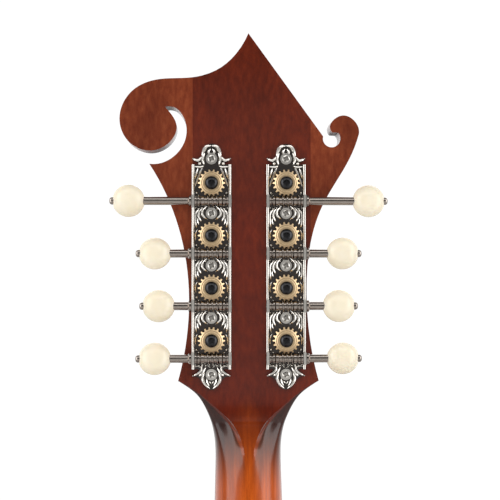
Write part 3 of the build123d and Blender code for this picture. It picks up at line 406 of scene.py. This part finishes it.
def neck_ring(mesh, station):
    """Section of the neck: flat front, short sides, and flanks running back to a flat crest."""
    up, tilt, wide, crest, side, deep, bulge, scoop = station
    start = lean(NECK_TILT) * min(up, NUT_DEEP) + lean(HEAD_TILT) * max(up - NUT_DEEP, 0)
    backward = lean(tilt).cross(RIGHT)
    out = Vector((deep - side, wide - crest)).normalized()
    half = [Vector((0, 0)), Vector((wide * 0.5, 0)), Vector((wide, 0)), Vector((wide, side * 0.5))]
    for step in range(FLANK_STEPS + 1):
        t = step / FLANK_STEPS
        lift = bulge * 4 * t * (1 - t) + scoop * sin(2 * pi * t)
        half.append(Vector((wide, side)).lerp(Vector((crest, deep)), t) + out * lift)
    for step in range(1, CREST_STEPS + 1):
        half.append(Vector((crest * (1 - step / CREST_STEPS), deep)))
    ring = half + [Vector((-point.x, point.y)) for point in reversed(half[1:-1])]
    return [mesh.verts.new((start + RIGHT * point.x + backward * point.y) * MM) for point in ring]


def soften(mesh):
    """Marks every edge that turns more than a little as sharp."""
    for edge in mesh.edges:
        edge.smooth = len(edge.link_faces) == 2 and edge.calc_face_angle(0) < SOFT_EDGE


def kept_part(source, point, normal):
    """Copy of a node's mesh on one side of a plane, closed over the cut."""
    part = bmesh.new()
    part.from_mesh(source.data)
    part.transform(source.matrix_world)
    bmesh.ops.remove_doubles(part, verts=part.verts, dist=1e-7)
    bmesh.ops.bisect_plane(part, geom=part.verts[:] + part.edges[:] + part.faces[:], plane_co=point,
                           plane_no=normal, clear_inner=True)
    rim = [edge for edge in part.edges if edge.is_boundary]
    bmesh.ops.holes_fill(part, edges=rim, sides=0)
    data = bpy.data.meshes.new("neck_part")
    part.to_mesh(data)
    part.free()
    return data


neck_mesh = bmesh.new()
rings = [neck_ring(neck_mesh, station)
         for station in soft_line([Vector(row) for row in NECK_STATIONS], RINGS_PER_STATION)]
for near, far in zip(rings, rings[1:]):
    for index in range(len(near)):
        following = (index + 1) % len(near)
        neck_mesh.faces.new((near[index], near[following], far[following], far[index]))
neck_mesh.faces.new(rings[0])
neck_mesh.faces.new(list(reversed(rings[-1])))
for part in (kept_part(nodes["neck"], spot(0, CREST_TOP - POST_FIRST), UP),
             kept_part(nodes["neck"], Vector((0, 0, BODY_EDGE)), Vector((0, 0, -1)))):
    neck_mesh.from_mesh(part)
bmesh.ops.recalc_face_normals(neck_mesh, faces=neck_mesh.faces)
soften(neck_mesh)


def mesh_object(name, mesh, finish, body):
    data = bpy.data.meshes.new(name)
    mesh.to_mesh(data)
    mesh.free()
    for face in data.polygons:
        face.use_smooth = True
    piece = bpy.data.objects.new(name, data)
    bpy.context.scene.collection.objects.link(piece)
    data.materials.append(finish)
    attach(piece, body)
    return piece


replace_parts(mesh_object("carved_neck", neck_mesh, finishes["neck_wood"], "instrument"), "neck")

# ---------------------------------------------------------------- relief of the tuner plates

LEAF_STEPS = 14
LEAF_ROOT = 0.35            # a leaf's width at its root, as a share of its widest
LEAF_SUNK = 0.12            # how far a leaf sits into the plate
LEAF_SECTION = ((-1.0, 0.0), (-0.86, 0.5), (-0.5, 0.87), (0.0, 1.0), (0.5, 0.87), (0.86, 0.5), (1.0, 0.0))


def smooth_line(points, steps):
    """Points along a Catmull-Rom curve through the given 2D points."""
    ends = [points[0] * 2 - points[1]] + list(points) + [points[-1] * 2 - points[-2]]
    line = []
    spans = len(points) - 1
    for step in range(steps + 1):
        place = step * spans / steps
        span = min(int(place), spans - 1)
        t = place - span
        a, b, c, d = ends[span:span + 4]
        line.append(0.5 * (b * 2 + (c - a) * t + (a * 2 - b * 5 + c * 4 - d) * t * t
                           + (b * 3 - a - c * 3 + d) * t ** 3))
    return line


def add_leaf(mesh, points, width, height):
    """A closed rounded ridge along a curve, thick at its root and drawn out to a point."""
    line = smooth_line([Vector(point) for point in points], LEAF_STEPS)
    rings = []
    for step, here in enumerate(line):
        t = step / LEAF_STEPS
        ahead = line[min(step + 1, LEAF_STEPS)] - line[max(step - 1, 0)]
        side = Vector((-ahead.y, ahead.x)).normalized()
        swell = max(LEAF_ROOT * (1 - t) ** 3, (4 * t * (1 - t)) ** 0.55)
        half = width / 2 * max(swell, 0.06)
        tall = height * max(0.25, swell ** 0.7)
        ring = []
        for across, lift in LEAF_SECTION:
            at = here + side * (half * across)
            ring.append(mesh.verts.new(spot(at.x, at.y, PLATE_OUT + tall * lift - LEAF_SUNK)))
        rings.append(ring)
    for near, far in zip(rings, rings[1:]):
        for index in range(len(near)):
            following = (index + 1) % len(near)
            mesh.faces.new((near[index], near[following], far[following], far[index]))
    mesh.faces.new(list(reversed(rings[0])))
    mesh.faces.new(rings[-1])


def add_bead(mesh, across, up, radius, height):
    """A low rounded bead standing on the plate."""
    around = 12
    rings = []
    for lift in (0.0, 0.35, 0.65, 0.88, 0.98):
        size = radius * sqrt(1 - lift * lift)
        rings.append([mesh.verts.new(spot(across + size * cos(2 * pi * turn / around),
                                          up + size * sin(2 * pi * turn / around),
                                          PLATE_OUT - 0.1 + (height + 0.1) * lift))
                      for turn in range(around)])
    for near, far in zip(rings, rings[1:]):
        for index in range(around):
            following = (index + 1) % around
            mesh.faces.new((near[index], near[following], far[following], far[index]))
    mesh.faces.new(list(reversed(rings[0])))
    mesh.faces.new(rings[-1])


RAIL_MIDDLE = 8.1           # the side rails' distance from their plate's middle
RAIL_HALF = 0.62
RAIL_TOP = PLATE_OUT + 1.2
RAIL_RISE = 0.6
RAIL_BELOW = 12.7
RAIL_ABOVE = 8.3


def add_rail(mesh, across, bottom, top):
    """A rounded cap along the whole length of a plate's side rail."""
    ends = []
    for up in (bottom, top):
        ring = []
        for step in range(11):
            turn = pi * step / 10
            ring.append(mesh.verts.new(spot(across - RAIL_HALF * cos(turn), up,
                                            RAIL_TOP + RAIL_RISE * sin(turn))))
        ends.append(ring)
    low, high = ends
    for index in range(10):
        mesh.faces.new((low[index], low[index + 1], high[index + 1], high[index]))
    mesh.faces.new((low[10], low[0], high[0], high[10]))
    mesh.faces.new(list(reversed(low)))
    mesh.faces.new(high)


# leaves of one bay on the right of the plate's middle: points from the gear's centre, width, height
BAY_LEAVES = (
    (((2.0, 13.0), (3.8, 11.4), (3.9, 9.0), (1.7, 7.0)), 1.6, 1.2),
    (((3.6, 12.4), (5.3, 10.8), (5.6, 8.4), (4.4, 6.0)), 1.7, 1.2),
    (((5.0, 12.2), (6.9, 10.0), (7.1, 6.6), (6.5, 3.2)), 1.6, 1.2),
    (((6.0, 8.0), (6.1, 6.2), (5.3, 4.4)), 0.9, 1.0),
    (((6.2, 2.6), (7.1, 0.6), (6.9, -2.4)), 1.1, 0.85),
)
# leaves of the upper and lower ends, on the right
TOP_LEAVES = (
    (((0.2, 16.6), (2.3, 16.2), (3.5, 14.2), (4.2, 11.6)), 1.94, 1.3),
    (((3.1, 13.4), (3.9, 10.6), (3.2, 8.0)), 1.71, 1.25),
    (((0.5, 15.2), (1.3, 13.9), (0.9, 12.7), (2.1, 11.6)), 1.63, 1.2),
    (((3.8, 12.0), (5.9, 10.1), (8.3, 10.9)), 1.71, 1.1),
    (((8.1, 7.4), (5.0, 7.2), (3.2, 7.7)), 1.24, 0.9),
    (((3.9, 7.4), (5.6, 3.0), (7.4, -1.6)), 1.55, 0.85),
    (((6.0, 6.6), (6.7, 4.4), (7.4, 1.8)), 1.40, 1.1),
)
BOTTOM_LEAVES = (
    (((0.1, -12.5), (1.1, -11.3), (2.1, -10.2)), 0.85, 1.3),
    (((2.6, -12.0), (4.2, -14.6), (5.6, -15.9)), 1.86, 1.3),
    (((4.4, -10.6), (4.4, -12.9), (5.9, -14.5), (8.1, -15.7)), 1.63, 1.2),
    (((3.0, -13.6), (3.9, -16.6), (2.9, -19.2), (0.6, -21.4)), 1.78, 1.3),
    (((0.1, -19.3), (0.7, -18.4), (1.1, -17.6)), 0.78, 1.1),
    (((2.0, -16.6), (1.9, -18.4), (0.9, -20.4)), 1.16, 1.15),
    (((8.2, -12.2), (6.4, -11.2), (4.6, -11.6), (3.6, -10.4)), 1.16, 1.0),
)
LACE = tuple((0.95 + 1.55 * step, -10.75 - 0.35 * (step % 2)) for step in range(5))


SCREW_HEAD_RADIUS = 2.6
SCREW_HEAD_RISE = 1.75
CROSS_TURN = radians(25)
SCREW_UPS = (-15.0, 9.8, 32.8, 55.8, 79.8)


def add_screw_head(mesh, across, up):
    """A domed screw head with a cross recess, standing on the plate."""
    around = 40
    rings = []
    for step in range(14):
        size = SCREW_HEAD_RADIUS * (1 - step / 13.5)
        ring = []
        for turn in range(around):
            angle = 2 * pi * turn / around
            x, y = size * cos(angle), size * sin(angle)
            along_slot = x * cos(CROSS_TURN) + y * sin(CROSS_TURN)
            across_slot = y * cos(CROSS_TURN) - x * sin(CROSS_TURN)
            near, far = sorted((abs(along_slot), abs(across_slot)))
            tall = SCREW_HEAD_RISE * sqrt(1 - (size / SCREW_HEAD_RADIUS) ** 2)
            if near < 0.3 and far < 1.35:
                tall = 0.85
            ring.append(mesh.verts.new(spot(across + x, up + y, PLATE_OUT + tall)))
        rings.append(ring)
    for near, far in zip(rings, rings[1:]):
        for index in range(around):
            following = (index + 1) % around
            mesh.faces.new((near[index], near[following], far[following], far[index]))
    mesh.faces.new(list(reversed(rings[0])))
    mesh.faces.new(rings[-1])


TEETH = 18
FIRST_TOOTH = -80
# a tooth's outline: degrees from its middle, and how far out between root and tip
TOOTH_OUTLINE = ((-7.5, 0.0), (-5.2, 0.0), (-2.6, 1.0), (2.6, 1.0), (5.2, 0.0), (7.5, 0.0))
GEAR_ROOT, GEAR_TIP = 5.0, 5.95
# rings of a gear's back from its hub's hole out to where the teeth start: radius, height
GEAR_RINGS = ((2.1, 1.9), (3.85, 1.9), (4.1, 1.75), (4.16, 1.42), (4.55, 1.4))
GEAR_SLOPE = 0.75
GEAR_LOW = -1.4


def add_gear(mesh, across, up):
    """A gear whose teeth slope down to their tips."""
    marks = [(radians(FIRST_TOOTH + 360 / TEETH * tooth + turn), GEAR_ROOT + (GEAR_TIP - GEAR_ROOT) * reach)
             for tooth in range(TEETH) for turn, reach in TOOTH_OUTLINE]
    levels = [[(radius, out)] * len(marks) for radius, out in GEAR_RINGS]
    edge = GEAR_RINGS[-1]
    levels.append([(radius, edge[1] - GEAR_SLOPE * (radius - edge[0])) for _, radius in marks])
    levels.append([(radius, GEAR_LOW) for _, radius in marks])
    levels.append([(GEAR_RINGS[0][0], GEAR_LOW)] * len(marks))
    rings = []
    for level in levels:
        rings.append([mesh.verts.new(spot(across + radius * cos(angle), up + radius * sin(angle), out))
                      for (angle, _), (radius, out) in zip(marks, level)])
    for near, far in zip(rings, rings[1:] + rings[:1]):
        for index in range(len(marks)):
            following = (index + 1) % len(marks)
            mesh.faces.new((near[index], near[following], far[following], far[index]))


def relief(side):
    """Leaves, beads, rail caps and screw heads of one tuner plate as one mesh."""
    mesh = bmesh.new()
    for hand in (1, -1):
        def placed(points, up):
            return [(side * POST_X + hand * across, up + rise) for across, rise in points]

        for row, up in zip(ROWS, post_up):
            if row < 4:
                for points, width, height in BAY_LEAVES:
                    add_leaf(mesh, placed(points, up), width, height)
            for across, rise in LACE:
                add_bead(mesh, side * POST_X + hand * across, up + rise, 0.62, 0.9)
            add_bead(mesh, side * POST_X + hand * 6.6, up - 4.3, 0.8, 1.0)
            add_bead(mesh, side * POST_X + hand * 5.6, up - 5.5, 0.6, 0.9)
        for points, width, height in TOP_LEAVES:
            add_leaf(mesh, placed(points, post_up[3]), width, height)
        for points, width, height in BOTTOM_LEAVES:
            add_leaf(mesh, placed(points, post_up[0]), width, height)
        add_rail(mesh, side * POST_X + hand * RAIL_MIDDLE, post_up[0] - RAIL_BELOW, post_up[3] + RAIL_ABOVE)
        add_bead(mesh, side * POST_X + hand * 5.2, post_up[3] + 8.7, 0.85, 1.3)
        add_bead(mesh, side * POST_X + hand * 8.2, post_up[3] + 10.9, 0.5, 1.1)
        add_bead(mesh, side * POST_X + hand * 8.1, post_up[0] - 15.6, 0.5, 1.1)
    for up in SCREW_UPS:
        add_screw_head(mesh, side * POST_X, up)
    bmesh.ops.recalc_face_normals(mesh, faces=mesh.faces)
    soften(mesh)
    return mesh


for side_name, side in SIDES:
    mesh_object("plate_relief_" + side_name, relief(side), finishes["nickel"], "instrument")

    for row, up in zip(ROWS, post_up):
        place = f"{side_name}_{row}"
        gear_mesh = bmesh.new()
        add_gear(gear_mesh, side * POST_X, up)
        bmesh.ops.recalc_face_normals(gear_mesh, faces=gear_mesh.faces)
        soften(gear_mesh)
        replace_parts(mesh_object("cut_gear_" + place, gear_mesh, finishes["gear_brass"],
                                "post_" + place), "gear_" + place)

# ---------------------------------------------------------------- strings

STRING_RADII = {"treble": (0.14, 0.14, 0.2, 0.2), "bass": (0.5, 0.5, 0.33, 0.33)}   # outermost first
COURSES_AT_NUT = (10.7, 3.7)
COURSES_AT_SADDLE = (19.2, 6.4)
COURSES_AT_HOOKS = (13.2, 4.5)
STRING_SLOT_OVER_BOARD = 6.55       # the strings' undersides over the fingerboard's glue face
WINDING_OUT = -16.9 - 11.4          # the posts' string holes, behind the worms' axes
WINDINGS = 3
POST_WAIST = 2.35
saddle_low, saddle_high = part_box("bridge_saddle")
hooks_low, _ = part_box("tailpiece_base")
neck_front = Vector((0, -cos(radians(NECK_TILT)), sin(radians(NECK_TILT))))


def paired(courses, gap, string):
    """Distance of a string from the middle: its course's centre plus or minus half the pair's gap."""
    return courses[string // 2] + (gap, -gap)[string % 2]


def string_path(side, string, radius):
    """A string from its loop on the tailpiece over saddle and nut to its windings, in metres."""
    hook = Vector((side * paired(COURSES_AT_HOOKS, 1.6, string) * MM, hooks_low[1] + 1.9 * MM,
                   hooks_low[2] + 14.2 * MM))
    saddle_middle = (saddle_low[2] + saddle_high[2]) / 2
    saddle = Vector((side * paired(COURSES_AT_SADDLE, 1.3, string) * MM,
                     saddle_low[1] - (0.03 + 1.2 * radius) * MM, saddle_middle))
    nut = neck_front * ((STRING_SLOT_OVER_BOARD + radius) * MM)
    nut.x = side * paired(COURSES_AT_NUT, 0.95, string) * MM
    path = [hook + Vector((0, 0, -2.6)) * MM, hook, saddle, nut]
    wrap = POST_WAIST + radius
    pitch = 2 * radius + 0.04
    steps = 24
    for step in range(WINDINGS * steps + 1):
        turn = pi - 2 * pi * step / steps
        path.append(spot(side * (POST_X + wrap * cos(turn)), post_up[string] + wrap * sin(turn),
                         WINDING_OUT + pitch * (WINDINGS - step / steps)))
    inside = spot(side * POST_X, post_up[string], WINDING_OUT)
    path.append(path[-1].lerp(inside, 0.3))
    path.append(inside)
    return path


def string_curve(name, path, radius, finish):
    data = bpy.data.curves.new(name, "CURVE")
    data.dimensions = "3D"
    data.bevel_depth = radius * MM
    data.bevel_resolution = 2
    data.use_fill_caps = True
    spline = data.splines.new("POLY")
    spline.points.add(len(path) - 1)
    for point, place in zip(spline.points, path):
        point.co = (*place, 1)
    data.materials.append(finish)
    piece = bpy.data.objects.new(name, data)
    bpy.context.scene.collection.objects.link(piece)
    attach(piece, "instrument")
    return piece


for side_name, side in SIDES:
    slot = "steel_string" if side_name == "treble" else "bronze_string"
    for string in range(4):
        radius = STRING_RADII[side_name][string]
        piece = string_curve(f"string_{side_name}_{string + 1}", string_path(side, string, radius), radius,
                             finishes[slot])
        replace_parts(piece, "plain_strings" if side_name == "treble" else "wound_strings")

# ---------------------------------------------------------------- floor, light and camera

floor_mesh = bmesh.new()
bmesh.ops.create_grid(floor_mesh, x_segments=2, y_segments=2, size=3)
floor_data = bpy.data.meshes.new("floor")
floor_mesh.to_mesh(floor_data)
floor_mesh.free()
floor = bpy.data.objects.new("floor", floor_data)
floor.location = (0, 0, cad_box[0][2] - 0.01)
bpy.context.scene.collection.objects.link(floor)
floor_finish, tree, links, shader = new_material("pale_floor")
tone = noise(tree, links, coordinates(tree, links, (3, 3, 3)), 1.0)
links.new(ramp(tree, links, tone, ((0.3, (0.82, 0.82, 0.81)), (0.7, (0.86, 0.86, 0.85)))),
          shader.inputs["Base Color"])
shader.inputs["Roughness"].default_value = 0.7
floor_data.materials.append(floor_finish)

# The studio: the camera sees white paper all round. Reflections see a tent instead. It is white behind
# the headstock's face and in a ring round its back, dark in the gap between them and dim round the
# camera, and it is weaker toward the middle than toward the sides.
world = bpy.data.worlds.new("studio")
world.use_nodes = True
tree = world.node_tree.nodes
links = world.node_tree.links
ambient = tree["Background"]
ambient.inputs["Color"].default_value = (1.0, 0.99, 0.98, 1)
ambient.inputs["Strength"].default_value = 0.45
rays = tree.new("ShaderNodeLightPath")
paper = tree.new("ShaderNodeBackground")
paper.inputs["Color"].default_value = (1, 1, 1, 1)
paper.inputs["Strength"].default_value = 1.05
compass = tree.new("ShaderNodeTexCoord")
toward_back = tree.new("ShaderNodeVectorMath")
toward_back.operation = "DOT_PRODUCT"
toward_back.inputs[1].default_value = BACK
links.new(compass.outputs["Generated"], toward_back.inputs[0])
toward_side = tree.new("ShaderNodeVectorMath")
toward_side.operation = "DOT_PRODUCT"
toward_side.inputs[1].default_value = RIGHT
links.new(compass.outputs["Generated"], toward_side.inputs[0])
half = tree.new("ShaderNodeMapRange")
half.inputs["From Min"].default_value = -1
links.new(toward_back.outputs["Value"], half.inputs["Value"])
tent = tree.new("ShaderNodeBackground")
TENT_TONES = ((0.0, 1.0), (0.38, 1.0), (0.43, 0.3), (0.52, 0.35), (0.6, 1.0), (0.84, 1.0), (0.91, 0.2),
              (1.0, 0.14))
links.new(ramp(tree, links, half.outputs["Result"],
               [(place, (tone, tone, tone)) for place, tone in TENT_TONES]), tent.inputs["Color"])
sideways = calculated(tree, links, "ABSOLUTE", toward_side.outputs["Value"])
flanks = step_up(tree, links, sideways, 0.1, 0.55)
flanks.node.inputs["To Min"].default_value = 0.3
links.new(flanks, tent.inputs["Strength"])
mirrored = tree.new("ShaderNodeMixShader")
links.new(rays.outputs["Is Glossy Ray"], mirrored.inputs[0])
links.new(ambient.outputs[0], mirrored.inputs[1])
links.new(tent.outputs[0], mirrored.inputs[2])
chosen = tree.new("ShaderNodeMixShader")
links.new(rays.outputs["Is Camera Ray"], chosen.inputs[0])
links.new(mirrored.outputs[0], chosen.inputs[1])
links.new(paper.outputs[0], chosen.inputs[2])
links.new(chosen.outputs[0], tree["World Output"].inputs["Surface"])
bpy.context.scene.world = world


def softbox(name, place, aim, wide, tall, power):
    data = bpy.data.lights.new(name, "AREA")
    data.shape = "RECTANGLE"
    data.size = wide
    data.size_y = tall
    data.energy = power
    light = bpy.data.objects.new(name, data)
    light.location = place
    light.rotation_euler = (aim - place).to_track_quat("-Z", "Y").to_euler()
    light.visible_camera = False
    bpy.context.scene.collection.objects.link(light)


# the headstock's +X side is on the camera's left
target = spot(0, 40)
softbox("left_box", target + RIGHT * 0.75 + BACK * 0.35 + UP * 0.1, target, 0.5, 1.1, 3.9)
softbox("right_box", target - RIGHT * 0.75 + BACK * 0.35 + UP * 0.1, target, 0.5, 1.1, 3.9)
softbox("top_box", target + UP * 0.7 + BACK * 0.55, target, 0.9, 0.4, 1.5)
softbox("front_box", target - BACK * 1.1 + UP * 0.5, target, 1.2, 1.2, 6)

LENS = 86.5
camera_data = bpy.data.cameras.new("camera")
camera_data.lens = LENS
camera_data.sensor_width = 36
camera_data.clip_start = 0.01
camera = bpy.data.objects.new("camera", camera_data)
CAMERA_OUT = 526.1          # the camera's distance behind the worms' axes
eye = spot(16.1, 36.2, CAMERA_OUT)
aim = spot(-0.6, 39.7, WOOD_OUT)
view = (eye - aim).normalized()
across = UP.cross(view).normalized()
rise = view.cross(across)
camera.matrix_world = Matrix([[across[i], rise[i], view[i], eye[i]] for i in range(3)] + [[0, 0, 0, 1]])
bpy.context.scene.collection.objects.link(camera)
bpy.context.scene.camera = camera
bpy.context.scene.view_settings.view_transform = "Standard"
